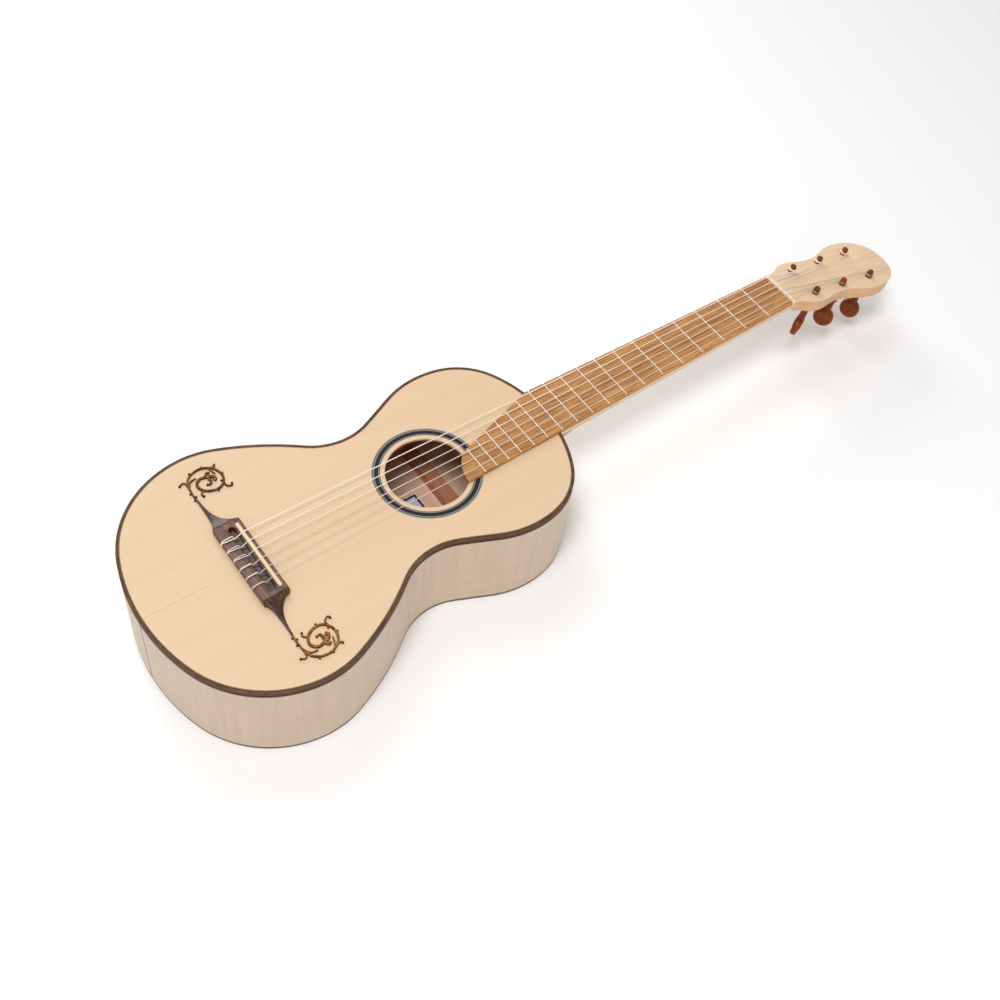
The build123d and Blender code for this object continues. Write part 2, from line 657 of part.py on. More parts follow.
for number in range(1, 7):
    plane = peg_plane(number)
    edge_plane = Plane(origin=plane.origin, x_dir=plane.z_dir, z_dir=-plane.x_dir)
    with BuildPart() as peg:
        with BuildSketch(plane):
            with Locations((0, DISC_AT)):
                Circle(DISC_R)
        extrude(amount=DISC_T / 2, both=True)
        with BuildSketch(edge_plane):
            disc_wedge()
        extrude(amount=DISC_R + 1, both=True, mode=Mode.INTERSECT)
        fillet(peg.edges().filter_by(GeomType.LINE, reverse=True), radius=DISC_EDGE)
        with BuildSketch(plane):
            shaft_profile()
        revolve(axis=Axis(plane.origin, HEAD_NORMAL))
    save(peg, f"peg_{number}")

for number, r in enumerate(STRING_R, 1):
    plane = peg_plane(number)
    top = WINDING_LOW + 2 * r * WINDING_TURNS
    with BuildPart() as winding:
        with BuildSketch(plane):
            with BuildLine():
                Polyline((PEG_R + r, WINDING_LOW), (peg_r(WINDING_LOW), WINDING_LOW),
                         (peg_r(top), top), (PEG_R + r, top))
                for turn in range(WINDING_TURNS):
                    low = WINDING_LOW + 2 * r * turn
                    ThreePointArc((PEG_R + r, low), (PEG_R + 2 * r, low + r), (PEG_R + r, low + 2 * r))
            make_face()
        revolve(axis=Axis(plane.origin, HEAD_NORMAL))
    save(winding, f"winding_{number}")
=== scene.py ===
"""Parlour guitar: camera, light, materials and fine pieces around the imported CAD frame."""
import json
import math

import bmesh
import bpy
from mathutils import Matrix, Vector


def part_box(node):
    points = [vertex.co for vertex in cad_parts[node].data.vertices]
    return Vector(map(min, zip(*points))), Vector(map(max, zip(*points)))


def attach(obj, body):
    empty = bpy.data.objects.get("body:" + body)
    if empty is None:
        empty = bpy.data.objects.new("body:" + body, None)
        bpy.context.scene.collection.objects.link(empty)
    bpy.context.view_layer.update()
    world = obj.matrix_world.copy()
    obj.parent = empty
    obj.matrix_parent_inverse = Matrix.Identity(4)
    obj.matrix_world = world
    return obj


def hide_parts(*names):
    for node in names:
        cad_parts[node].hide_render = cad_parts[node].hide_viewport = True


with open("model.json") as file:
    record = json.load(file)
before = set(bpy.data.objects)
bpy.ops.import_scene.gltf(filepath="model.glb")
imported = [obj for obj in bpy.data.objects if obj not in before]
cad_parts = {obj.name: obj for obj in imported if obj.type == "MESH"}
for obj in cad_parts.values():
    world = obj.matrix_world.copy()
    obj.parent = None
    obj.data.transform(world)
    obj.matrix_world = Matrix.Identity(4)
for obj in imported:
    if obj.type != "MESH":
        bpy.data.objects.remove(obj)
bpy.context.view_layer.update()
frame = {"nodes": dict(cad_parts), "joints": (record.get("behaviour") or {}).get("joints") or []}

MM = 0.001
ROOT = "guitar"
PER_MM = 1000.0          # object coordinates are metres, patterns are set out in millimetres


def box_mm(node):
    """A CAD node's lowest and highest corners in millimetres."""
    return [Vector(corner) * PER_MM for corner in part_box(node)]


TUNERS = {joint["child"]: joint for joint in frame["joints"]}
HEAD_NORMAL = Vector(frame["joints"][0]["axis"])
HEAD_DOWN = Vector((0, HEAD_NORMAL.z, -HEAD_NORMAL.y))
HEAD_TILT = math.asin(HEAD_NORMAL.y)
BODY_TOP_MM = box_mm("top_plate")[1].z
ROSETTE_LOW, ROSETTE_HIGH = box_mm("rosette_outer_lines")
HOLE_Y_MM = ROSETTE_LOW.y + (ROSETTE_HIGH.x - ROSETTE_LOW.x) / 2

# ---------------------------------------------------------------- camera
# Above the tail on the treble side, looking along the strings towards the head.
CAMERA_AT = Vector((0.6003, -0.2884, 1.1345))
CAMERA_LOOK = Vector((-0.42377, 0.40395, -0.81071))
CAMERA_UP = Vector((-0.69119, 0.43424, 0.57766))
LENS_MM = 47.91
SENSOR_MM = 36.0


def add_camera():
    data = bpy.data.cameras.new("camera")
    data.lens = LENS_MM
    data.sensor_width = SENSOR_MM
    data.clip_start = 0.01
    camera = bpy.data.objects.new("camera", data)
    bpy.context.scene.collection.objects.link(camera)
    look = CAMERA_LOOK.normalized()
    right = look.cross(CAMERA_UP).normalized()
    up = right.cross(look)
    turn = Matrix((right, up, -look)).transposed().to_4x4()
    camera.matrix_world = Matrix.Translation(CAMERA_AT) @ turn
    bpy.context.scene.camera = camera


add_camera()


# ---------------------------------------------------------------- studio
WORLD_STRENGTH = 0.43
LIGHT_AIM = Vector((0.0, 0.25, 0.05))
LIGHTS = {               # place in metres, size in metres, power in watts
    "key": ((0.45, -0.5, 2.3), 0.8, 29.5),
    "rim": ((-2.25, 0.57, 1.35), 1.2, 16.0),
    "overhead": ((-1.1, 0.35, 2.2), 1.0, 9.0),
    "fill": ((2.2, -0.6, 1.3), 2.0, 5.0),
}
FLOOR_HALF = 6.0
FLOOR_Z = -0.0002        # just under the flat back, so that the two faces don't coincide
FLOOR_GREY = 0.97


def add_light(name, at, size, power):
    data = bpy.data.lights.new(name, "AREA")
    data.shape = "DISK"
    data.size = size
    data.energy = power
    light = bpy.data.objects.new(name, data)
    bpy.context.scene.collection.objects.link(light)
    light.location = at
    light.rotation_euler = (LIGHT_AIM - Vector(at)).to_track_quat("-Z", "Y").to_euler()


def add_floor():
    mesh = bpy.data.meshes.new("floor")
    corners = [(x * FLOOR_HALF, y * FLOOR_HALF, FLOOR_Z) for x, y in ((-1, -1), (1, -1), (1, 1), (-1, 1))]
    mesh.from_pydata(corners, [], [(0, 1, 2, 3)])
    floor = bpy.data.objects.new("floor", mesh)
    bpy.context.scene.collection.objects.link(floor)
    mat = bpy.data.materials.new("floor")
    mat.use_nodes = True
    shader = mat.node_tree.nodes["Principled BSDF"]
    shader.inputs["Base Color"].default_value = (FLOOR_GREY, FLOOR_GREY, FLOOR_GREY, 1)
    shader.inputs["Roughness"].default_value = 0.9
    mesh.materials.append(mat)


def add_studio():
    world = bpy.data.worlds.new("studio")
    world.use_nodes = True
    background = world.node_tree.nodes["Background"]
    background.inputs["Color"].default_value = (1.0, 1.0, 1.0, 1.0)
    background.inputs["Strength"].default_value = WORLD_STRENGTH
    bpy.context.scene.world = world
    bpy.context.scene.view_settings.view_transform = "Standard"
    for name, (at, size, power) in LIGHTS.items():
        add_light(name, at, size, power)
    add_floor()


add_studio()


# ---------------------------------------------------------------- shader building blocks
class Shader:
    """A Principled material and the few node patterns that this object needs."""

    def __init__(self, name, roughness=0.5, coat=0.0, metallic=0.0):
        self.mat = bpy.data.materials.new(name)
        self.mat.use_nodes = True
        self.tree = self.mat.node_tree
        self.bsdf = self.tree.nodes["Principled BSDF"]
        self.bsdf.inputs["Roughness"].default_value = roughness
        self.bsdf.inputs["Coat Weight"].default_value = coat
        self.bsdf.inputs["Coat Roughness"].default_value = 0.25
        self.bsdf.inputs["Metallic"].default_value = metallic

    def node(self, kind, **settings):
        made = self.tree.nodes.new(kind)
        for key, value in settings.items():
            setattr(made, key, value)
        return made

    def link(self, out, into):
        self.tree.links.new(out, into)

    def fit(self, vector, factors, offset=(0, 0, 0)):
        """Coordinates multiplied by a factor on each axis and then moved."""
        made = self.node("ShaderNodeMapping")
        made.inputs["Scale"].default_value = factors
        made.inputs["Location"].default_value = offset
        self.link(vector, made.inputs["Vector"])
        return made.outputs["Vector"]

    def place(self, scale=(1, 1, 1), offset=(0, 0, 0), tilt=0.0):
        """Object coordinates in millimetres, turned about X by tilt and divided by scale."""
        turn = self.node("ShaderNodeMapping")
        turn.inputs["Rotation"].default_value = (tilt, 0, 0)
        self.link(self.node("ShaderNodeTexCoord").outputs["Object"], turn.inputs["Vector"])
        return self.fit(turn.outputs["Vector"], [PER_MM / s for s in scale], offset)

    def math(self, operation, a, b=None, c=None):
        made = self.node("ShaderNodeMath", operation=operation)
        for socket, value in zip(made.inputs, (a, b, c)):
            if value is None:
                continue
            if isinstance(value, (int, float)):
                socket.default_value = value
            else:
                self.link(value, socket)
        return made.outputs[0]

    def axis(self, vector, letter):
        split = self.node("ShaderNodeSeparateXYZ")
        self.link(vector, split.inputs[0])
        return split.outputs[letter]

    def noise(self, vector, detail=3.0, roughness=0.55, distortion=0.0):
        made = self.node("ShaderNodeTexNoise")
        made.inputs["Scale"].default_value = 1.0
        made.inputs["Detail"].default_value = detail
        made.inputs["Roughness"].default_value = roughness
        made.inputs["Distortion"].default_value = distortion
        self.link(vector, made.inputs["Vector"])
        return made.outputs["Fac"]

    def ramp(self, value, stops, constant=False):
        """Colours at positions from 0 to 1; a number stands for a grey."""
        made = self.node("ShaderNodeValToRGB")
        ramp = made.color_ramp
        if constant:
            ramp.interpolation = "CONSTANT"
        while len(ramp.elements) < len(stops):
            ramp.elements.new(0.5)
        for element, (at, colour) in zip(ramp.elements, stops):
            element.position = at
            element.color = (colour,) * 3 + (1,) if isinstance(colour, float) else (*colour, 1)
        self.link(value, made.inputs["Fac"])
        return made.outputs["Color"]

    def mix(self, kind, amount, a, b):
        """Mix two colours; kind is MIX or MULTIPLY."""
        made = self.node("ShaderNodeMix", data_type="RGBA", blend_type=kind)
        for socket, value in ((made.inputs[0], amount), (made.inputs[6], a), (made.inputs[7], b)):
            if isinstance(value, (int, float)):
                socket.default_value = value
            elif isinstance(value, tuple):
                socket.default_value = (*value, 1)
            else:
                self.link(value, socket)
        return made.outputs[2]

    def facing(self, direction):
        """1 where the surface faces the direction, 0 where it is edge on."""
        made = self.node("ShaderNodeVectorMath", operation="DOT_PRODUCT")
        made.inputs[1].default_value = direction
        self.link(self.node("ShaderNodeNewGeometry").outputs["Normal"], made.inputs[0])
        return made.outputs["Value"]

    def colour(self, value):
        self.link(value, self.bsdf.inputs["Base Color"])

    def shine(self, level):
        self.bsdf.inputs["Specular IOR Level"].default_value = level

    def rough(self, value, low, high):
        spread = self.node("ShaderNodeMapRange")
        spread.inputs["To Min"].default_value = low
        spread.inputs["To Max"].default_value = high
        self.link(value, spread.inputs["Value"])
        self.link(spread.outputs["Result"], self.bsdf.inputs["Roughness"])

    def bump(self, height, depth_mm):
        made = self.node("ShaderNodeBump")
        made.inputs["Distance"].default_value = depth_mm * MM
        made.inputs["Strength"].default_value = 1.0
        self.link(height, made.inputs["Height"])
        self.link(made.outputs["Normal"], self.bsdf.inputs["Normal"])


def wood(name, pale, dark, stretch, streak=(0.35, 0.65), pores=0.0, rough=(0.42, 0.55), bump=0.03,
         tilt=0.0, patch=0.12, offset=(0, 0, 0), side_tone=None, shine=0.5):
    """Wood whose fibres follow the long side of stretch, in millimetres per pattern step.

    A side tone deepens the faces of the head that turn away from its front face.
    """
    shader = Shader(name)
    fibres = shader.noise(shader.place(stretch, offset, tilt), detail=5.0, roughness=0.62, distortion=0.25)
    tone = shader.ramp(fibres, [(streak[0], dark), (streak[1], pale)])
    broad = shader.noise(shader.place([s * 9 for s in stretch], offset, tilt), detail=2.0)
    tone = shader.mix("MULTIPLY", 1.0, tone, shader.ramp(broad, [(0.3, 1.0 - patch), (0.7, 1.0)]))
    fine = shader.noise(shader.place([s / 3 for s in stretch], offset, tilt), detail=2.0, roughness=0.7)
    height = fine
    if pores:
        slots = shader.ramp(fine, [(0.36, 0.0), (0.42, 1.0)])
        tone = shader.mix("MULTIPLY", pores, tone, slots)
        height = slots
    if side_tone:
        # faces turned away from the head's front face are made deeper in colour
        side = shader.ramp(shader.facing(HEAD_NORMAL), [(0.35, side_tone), (0.9, 1.0)])
        tone = shader.mix("MULTIPLY", 1.0, tone, side)
    shader.colour(tone)
    shader.shine(shine)
    shader.rough(fine, *rough)
    shader.bump(height, bump)
    return shader.mat


def srgb(red, green, blue):
    """Linear colour of an sRGB triple from 0 to 255."""
    def linear(value):
        value = value / 255
        return value / 12.92 if value <= 0.04045 else ((value + 0.055) / 1.055) ** 2.4
    return (linear(red), linear(green), linear(blue))


# ---------------------------------------------------------------- materials
RING_STEP = 1.35         # from one growth line of the spruce to the next, in millimetres
RING_DRIFT = 6.0         # how far the lines wander
TOP_SEAM_HALF = 0.18
BACK_SEAM_HALF = 0.3
BACK_SKIN = 1.5          # above this height the back plate is seen from inside
LABEL_BORDER = 2.3
RING_EDGES = (45.4, 47.2, 51.2, 53.8)    # radii: inner lines, dark ring and outer lines lie between them


def spruce_top():
    """Book-matched spruce: fine lines along Y that mirror at the centre seam."""
    shader = Shader("spruce_top")
    flat = shader.place()
    across = shader.math("ABSOLUTE", shader.axis(flat, "X"))
    joined = shader.node("ShaderNodeCombineXYZ")
    shader.link(across, joined.inputs[0])
    shader.link(shader.axis(flat, "Y"), joined.inputs[1])
    mirrored = joined.outputs[0]
    drift = shader.noise(shader.fit(mirrored, (1 / 30, 1 / 260, 1)), detail=2.0)
    phase = shader.math("ADD", across, shader.math("MULTIPLY", drift, RING_DRIFT))
    ring = shader.math("SINE", shader.math("MULTIPLY", phase, 2 * math.pi / RING_STEP))
    ring = shader.math("MULTIPLY_ADD", ring, 0.5, 0.5)
    line = shader.ramp(shader.math("POWER", ring, 3.0), [
        (0.0, srgb(223, 194, 160)), (0.6, srgb(221, 191, 156)), (1.0, srgb(214, 182, 145))])
    broad = shader.noise(shader.fit(mirrored, (1 / 16, 1 / 700, 1)), detail=4.0)
    tone = shader.mix("MULTIPLY", 1.0, line, shader.ramp(broad, [(0.3, srgb(251, 247, 241)), (0.7, 1.0)]))
    silk = shader.noise(shader.place((5, 1.6, 5)), detail=3.0)
    tone = shader.mix("MULTIPLY", 1.0, tone, shader.ramp(silk, [(0.25, 0.975), (0.7, 1.0)]))
    seam = shader.math("LESS_THAN", across, TOP_SEAM_HALF)
    tone = shader.mix("MULTIPLY", seam, tone, srgb(222, 200, 170))
    shader.colour(tone)
    shader.rough(broad, 0.40, 0.52)
    shader.bump(ring, 0.012)
    return shader.mat


def maple_fibres(shader, tone, bars, stretch):
    """The long fine fibres that every piece of maple has, over the tone of its flame."""
    fibre = shader.noise(shader.place(stretch), detail=5.0, roughness=0.65)
    shader.rough(bars, 0.36, 0.50)
    shader.bump(fibre, 0.02)
    return shader.mix("MULTIPLY", 1.0, tone, shader.ramp(fibre, [(0.35, srgb(245, 240, 234)), (0.6, 1.0)]))


def side_maple():
    """Pale maple ribs: fine fibres along the rib and very soft flame bars up and down."""
    shader = Shader("side_maple")
    bars = shader.noise(shader.place((7, 7, 110)), detail=2.0, roughness=0.5, distortion=0.4)
    tone = shader.ramp(bars, [(0.3, srgb(211, 187, 162)), (0.7, srgb(218, 196, 173))])
    shader.colour(maple_fibres(shader, tone, bars, (40, 40, 0.8)))
    return shader.mat


def back_maple():
    """Maple back: pale outside, and lighter and pinker inside the body, where the colour is painted warm
    light bounced about between the inner woods.
    """
    shader = Shader("back_maple")
    bars = shader.noise(shader.place((60, 7, 30)), detail=2.0, distortion=0.4)
    outside = shader.ramp(bars, [(0.3, srgb(218, 194, 170)), (0.7, srgb(230, 209, 187))])
    # painted light: the inside face is lighter and pinker, standing in for warm light bounced about inside
    # the body
    inside = shader.ramp(bars, [(0.3, srgb(250, 205, 178)), (0.7, srgb(254, 220, 196))])
    within = shader.math("GREATER_THAN", shader.axis(shader.place(), "Z"), BACK_SKIN)
    tone = shader.mix("MIX", within, outside, inside)
    tone = maple_fibres(shader, tone, bars, (0.8, 40, 5))
    across = shader.math("ABSOLUTE", shader.axis(shader.place(), "X"))
    seam = shader.math("LESS_THAN", across, BACK_SEAM_HALF)
    shader.colour(shader.mix("MULTIPLY", seam, tone, srgb(200, 176, 150)))
    return shader.mat


def binding(name, deep_mm, lines):
    """Brown binding; the lines are shares of its depth, from the top of the body down."""
    shader = Shader(name, roughness=0.55)
    fibre = shader.noise(shader.place((9, 9, 0.8)), detail=4.0, distortion=0.6)
    brown = shader.ramp(fibre, [(0.35, srgb(78, 48, 30)), (0.65, srgb(114, 74, 48))])
    depth = shader.math("SUBTRACT", BODY_TOP_MM, shader.axis(shader.place(), "Z"))
    marks = shader.ramp(shader.math("DIVIDE", depth, deep_mm), lines, constant=True)
    shader.colour(shader.mix("MULTIPLY", 1.0, brown, marks))
    shader.shine(0.25)
    shader.bump(fibre, 0.02)
    return shader.mat


def ring_lines(name, inner_mm, outer_mm, stops):
    """Veneer rings round the soundhole: stops run from the inner to the outer radius."""
    shader = Shader(name, roughness=0.5)
    flat = shader.place()
    off = shader.math("SUBTRACT", shader.axis(flat, "Y"), HOLE_Y_MM)
    x = shader.axis(flat, "X")
    square = shader.math("ADD", shader.math("MULTIPLY", x, x), shader.math("MULTIPLY", off, off))
    radius = shader.math("SQRT", square)
    share = shader.math("DIVIDE", shader.math("SUBTRACT", radius, inner_mm), outer_mm - inner_mm)
    tone = shader.ramp(share, stops, constant=True)
    grain = shader.noise(shader.place((2.5, 2.5, 2.5)), detail=4.0)
    shader.colour(shader.mix("MULTIPLY", 1.0, tone, shader.ramp(grain, [(0.3, 0.82), (0.7, 1.0)])))
    shader.shine(0.25)
    shader.bump(grain, 0.01)
    return shader.mat


def plain(name, pale, dark, step, rough, bump=0.01, **extra):
    """A fine mottled finish for bone, veneer lines, metal and nylon; extra goes to Shader."""
    shader = Shader(name, **extra)
    mottle = shader.noise(shader.place(step), detail=4.0)
    shader.colour(shader.ramp(mottle, [(0.3, dark), (0.7, pale)]))
    shader.rough(mottle, *rough)
    shader.bump(mottle, bump)
    return shader


def label_paper():
    """Blank paper with a printed dark border."""
    low, high = (Vector(corner) * PER_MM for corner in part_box("label"))
    middle = (low + high) / 2
    shader = Shader("label_paper", roughness=0.8)
    flat = shader.place()
    edge = None
    for letter, index in (("X", 0), ("Y", 1)):
        off = shader.math("ABSOLUTE", shader.math("SUBTRACT", shader.axis(flat, letter), middle[index]))
        inset = shader.math("SUBTRACT", (high[index] - low[index]) / 2, off)
        edge = inset if edge is None else shader.math("MINIMUM", edge, inset)
    border = shader.math("LESS_THAN", edge, LABEL_BORDER)
    fibre = shader.noise(shader.place((0.6, 0.6, 0.6)), detail=4.0)
    paper = shader.ramp(fibre, [(0.3, srgb(214, 210, 244)), (0.7, srgb(228, 226, 252))])
    shader.colour(shader.mix("MIX", border, paper, srgb(34, 26, 60)))
    shader.bump(fibre, 0.02)
    return shader.mat


def nylon(name, pale, dark, clear):
    """String material; clear is the share of light that passes through it."""
    made = plain(name, pale, dark, (0.5, 20, 0.5), (0.2, 0.34), 0.005)
    made.bsdf.inputs["Transmission Weight"].default_value = clear
    made.bsdf.inputs["IOR"].default_value = 1.5
    return made.mat


def bone(name, pale, dark, step):
    """Nut and saddle: light sinks a little into them."""
    made = plain(name, pale, dark, step, (0.3, 0.45), 0.01, coat=0.1)
    made.bsdf.inputs["Subsurface Weight"].default_value = 0.1
    made.bsdf.inputs["Subsurface Scale"].default_value = 0.002
    return made.mat


def scroll_wood(name, pale, dark):
    """Brown wood on the flat faces, darker where the surface turns down to the sides of each stroke."""
    shader = Shader(name)
    fibre = shader.noise(shader.place((3.5, 1.1, 2.0)), detail=4.0, roughness=0.6)
    face = shader.ramp(fibre, [(0.34, dark), (0.62, pale)])
    flat = shader.math("ABSOLUTE", shader.facing((0, 0, 1)))
    # darker where a stroke's surface turns away from straight up
    steep_share = shader.ramp(flat, [(0.86, 1.0), (0.999, 0.0)])
    smoke = shader.ramp(shader.noise(shader.place((3.6, 3.6, 3.6)), detail=2.0), [(0.44, 0.0), (0.64, 0.85)])
    steep_dark = shader.mix("MIX", steep_share, face, srgb(26, 13, 5))
    shader.colour(shader.mix("MIX", smoke, steep_dark, srgb(44, 24, 10)))
    shader.rough(fibre, 0.38, 0.6)
    shader.shine(0.25)
    shader.bump(fibre, 0.03)
    return shader.mat


def rosewood():
    """Dark streaked bridge wood, with painted shade that makes it nearly black down in the channel and on
    the low ends.
    """
    shader = Shader("rosewood")
    fibre = shader.noise(shader.place((60, 1.6, 2.2)), detail=5.0, roughness=0.62, distortion=0.3)
    tone = shader.ramp(fibre, [(0.34, srgb(30, 16, 12)), (0.5, srgb(84, 46, 26)), (0.68, srgb(134, 78, 44))])
    # painted shade: the lower the surface lies below the top of the bridge, the darker its colour is made
    rise = shader.math("SUBTRACT", shader.axis(shader.place(), "Z"), BODY_TOP_MM)
    depth = shader.math("DIVIDE", rise, box_mm("bridge")[1].z - BODY_TOP_MM)
    tone = shader.mix("MULTIPLY", 1.0, tone, shader.ramp(depth, [(0.42, srgb(132, 112, 112)), (0.9, 1.0)]))
    shader.colour(tone)
    shader.rough(fibre, 0.22, 0.34)
    shader.bump(fibre, 0.03)
    return shader.mat


TOP_LINES = [(0.0, 1.0), (0.42, srgb(150, 130, 118)), (0.84, srgb(96, 78, 70)), (0.99, 1.0)]
LINE_DARK = srgb(38, 34, 38)
LINE_PALE = srgb(148, 148, 142)

MATERIALS = {
    "spruce_top": spruce_top(),
    "side_maple": side_maple(),
    "back_maple": back_maple(),
    "neck_maple": wood("neck_maple", srgb(246, 217, 184), srgb(236, 198, 158), (2.2, 80, 2.2), patch=0.08,
                       pores=0.08),
    "head_maple": wood("head_maple", srgb(246, 216, 182), srgb(235, 198, 158), (2.6, 46, 2.6), patch=0.1,
                       pores=0.08, tilt=HEAD_TILT, offset=(3, 0, 0), side_tone=srgb(243, 222, 198)),
    # inner_spruce and inner_cross: the grain is the wood's own, and the pinkish-brown tint is painted warm
    # light bounced about inside the body
    "inner_spruce": wood("inner_spruce", srgb(236, 170, 128), srgb(206, 134, 94), (1.4, 60, 1.4)),
    "inner_cross": wood("inner_cross", srgb(226, 158, 122), srgb(194, 124, 90), (60, 1.4, 1.4)),
    "board": wood("board", srgb(214, 152, 86), srgb(124, 74, 34), (1.1, 42, 2.0), streak=(0.3, 0.6),
                  pores=0.4, rough=(0.45, 0.62), bump=0.05, patch=0.18),
    "rosewood": rosewood(),
    "binding_top": binding("binding_top", 6.0, TOP_LINES),
    "binding_back": wood("binding_back", srgb(112, 74, 44), srgb(72, 44, 26), (9, 9, 0.8),
                         rough=(0.36, 0.48)),
    "line_dark": plain("line_dark", srgb(66, 44, 30), srgb(44, 28, 18), (3, 3, 1), (0.5, 0.65)).mat,
    "line_pale": plain("line_pale", srgb(142, 122, 92), srgb(112, 94, 66), (3, 3, 1), (0.5, 0.65)).mat,
    "graft": plain("graft", srgb(132, 120, 112), srgb(104, 92, 86), (1, 1, 25), (0.4, 0.55)).mat,
    "rings_inner": ring_lines("rings_inner", *RING_EDGES[0:2], [
        (0.0, LINE_PALE), (0.25, LINE_DARK), (0.55, LINE_PALE)]),
    "ring_dark": ring_lines("ring_dark", *RING_EDGES[1:3], [
        (0.0, srgb(30, 20, 24)), (0.5, srgb(38, 28, 32))]),
    "rings_outer": ring_lines("rings_outer", *RING_EDGES[2:4], [
        (0.0, LINE_PALE), (0.36, LINE_DARK), (0.6, LINE_PALE)]),
    "label": label_paper(),
    "nylon_treble": nylon("nylon_treble", srgb(244, 231, 214), srgb(232, 217, 197), 0.24),
    "nylon_clear": nylon("nylon_clear", srgb(250, 232, 218), srgb(236, 210, 192), 0.85),
    "nylon_bass": nylon("nylon_bass", srgb(252, 246, 236), srgb(238, 229, 214), 0.04),
    "nut_bone": bone("nut_bone", srgb(250, 236, 214), srgb(243, 226, 200), (8, 2, 2)),
    "saddle_bone": bone("saddle_bone", srgb(230, 206, 172), srgb(214, 188, 152), (8, 2, 2)),
    "fret": plain("fret_metal", srgb(250, 242, 230), srgb(234, 225, 212), (6, 0.2, 0.2), (0.22, 0.34), 0.004,
                  metallic=1.0).mat,
    "peg_wood": wood("peg_wood", srgb(166, 80, 24), srgb(92, 34, 8), (2.0, 2.6, 16), streak=(0.28, 0.7),
                     pores=0.15, rough=(0.24, 0.36), bump=0.01, tilt=HEAD_TILT, patch=0.3, shine=0.22),
    "scroll_face": scroll_wood("scroll_face", srgb(204, 122, 26), srgb(100, 52, 10)),
    "scroll_dark": scroll_wood("scroll_dark", srgb(172, 102, 26), srgb(66, 36, 10)),
}

NODE_MATERIALS = {       # the CAD nodes that are shown as they are, besides the braces
    "top_plate": "spruce_top", "back_plate": "back_maple", "side_treble": "side_maple",
    "side_bass": "side_maple", "tail_graft": "graft", "back_binding": "binding_back",
    "side_line": "line_pale", "purfling_dark": "line_dark", "purfling_light": "line_pale",
    "top_lining": "inner_spruce", "back_lining": "inner_spruce", "neck_block": "inner_spruce",
    "tail_block": "inner_spruce", "bridge_patch": "inner_cross", "label": "label",
    "rosette_inner_lines": "rings_inner", "rosette_ring": "ring_dark",
    "rosette_outer_lines": "rings_outer", "neck": "neck_maple", "heel_cap": "binding_back",
    "fingerboard": "board", "frets": "fret", "saddle": "saddle_bone",
}

for number in range(1, 5):
    NODE_MATERIALS[f"top_brace_{number}"] = "inner_cross"
for number in range(1, 4):
    NODE_MATERIALS[f"back_brace_{number}"] = "inner_cross"

for node_name, material_name in NODE_MATERIALS.items():
    for slot in frame["nodes"][node_name].material_slots:
        slot.material = MATERIALS[material_name]

# ---------------------------------------------------------------- fine pieces: helpers
def mesh_from(name, bm, smooth_angle):
    """Turn a bmesh into a mesh that is smooth except at creases sharper than the angle."""
    bmesh.ops.recalc_face_normals(bm, faces=bm.faces)
    limit = math.radians(smooth_angle)
    for face in bm.faces:
        face.smooth = True
    for edge in bm.edges:
        if len(edge.link_faces) == 2 and edge.calc_face_angle(0.0) > limit:
            edge.smooth = False
    mesh = bpy.data.meshes.new(name)
    bm.to_mesh(mesh)
    bm.free()
    return mesh


def add_piece(name, bm, body, slot, material, *nodes, smooth_angle=40.0):
    """Put a finished shape in the scene in place of its CAD nodes."""
    mesh = mesh_from(name, bm, smooth_angle)
    mesh.materials.append(MATERIALS[material])
    obj = bpy.data.objects.new(name, mesh)
    bpy.context.scene.collection.objects.link(obj)
    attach(obj, body)
    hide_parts(*nodes)


def smooth_path(points, steps):
    """Points on a curve that passes through the given ones, with steps to each gap."""
    path = []
    for index in range(len(points) - 1):
        p1, p2 = points[index], points[index + 1]
        p0 = points[index - 1] if index else p1 * 2 - p2
        p3 = points[index + 2] if index + 2 < len(points) else p2 * 2 - p1
        for step in range(steps):
            t = step / steps
            path.append(0.5 * ((2 * p1) + (p2 - p0) * t + (2 * p0 - 5 * p1 + 4 * p2 - p3) * t * t
                               + (3 * p1 - p0 - 3 * p2 + p3) * t ** 3))
    path.append(points[-1])
    return path


def circle(sides):
    """Cosine and sine of evenly spaced angles, once round."""
    angles = [2 * math.pi * corner / sides for corner in range(sides)]
    return [(math.cos(angle), math.sin(angle)) for angle in angles]


def tube(bm, path, radius, sides=12):
    """Add a closed round tube along a path in millimetres."""
    rings = []
    side = None
    for index, point in enumerate(path):
        ahead = path[min(index + 1, len(path) - 1)] - path[max(index - 1, 0)]
        ahead.normalize()
        if side is None:
            side = ahead.orthogonal().normalized()
        side = (side - ahead * side.dot(ahead)).normalized()
        other = ahead.cross(side)
        rings.append([bm.verts.new((point + (side * cos + other * sin) * radius) * MM)
                      for cos, sin in circle(sides)])
    bridge_rings(bm, rings, closed_ends=True)


def bridge_rings(bm, rings, closed_ends=False):
    """Join rings of equal length with quads."""
    for low, high in zip(rings, rings[1:]):
        for corner in range(len(low)):
            after = (corner + 1) % len(low)
            bm.faces.new((low[corner], low[after], high[after], high[corner]))
    if closed_ends:
        bm.faces.new(rings[0][::-1])
        bm.faces.new(rings[-1])


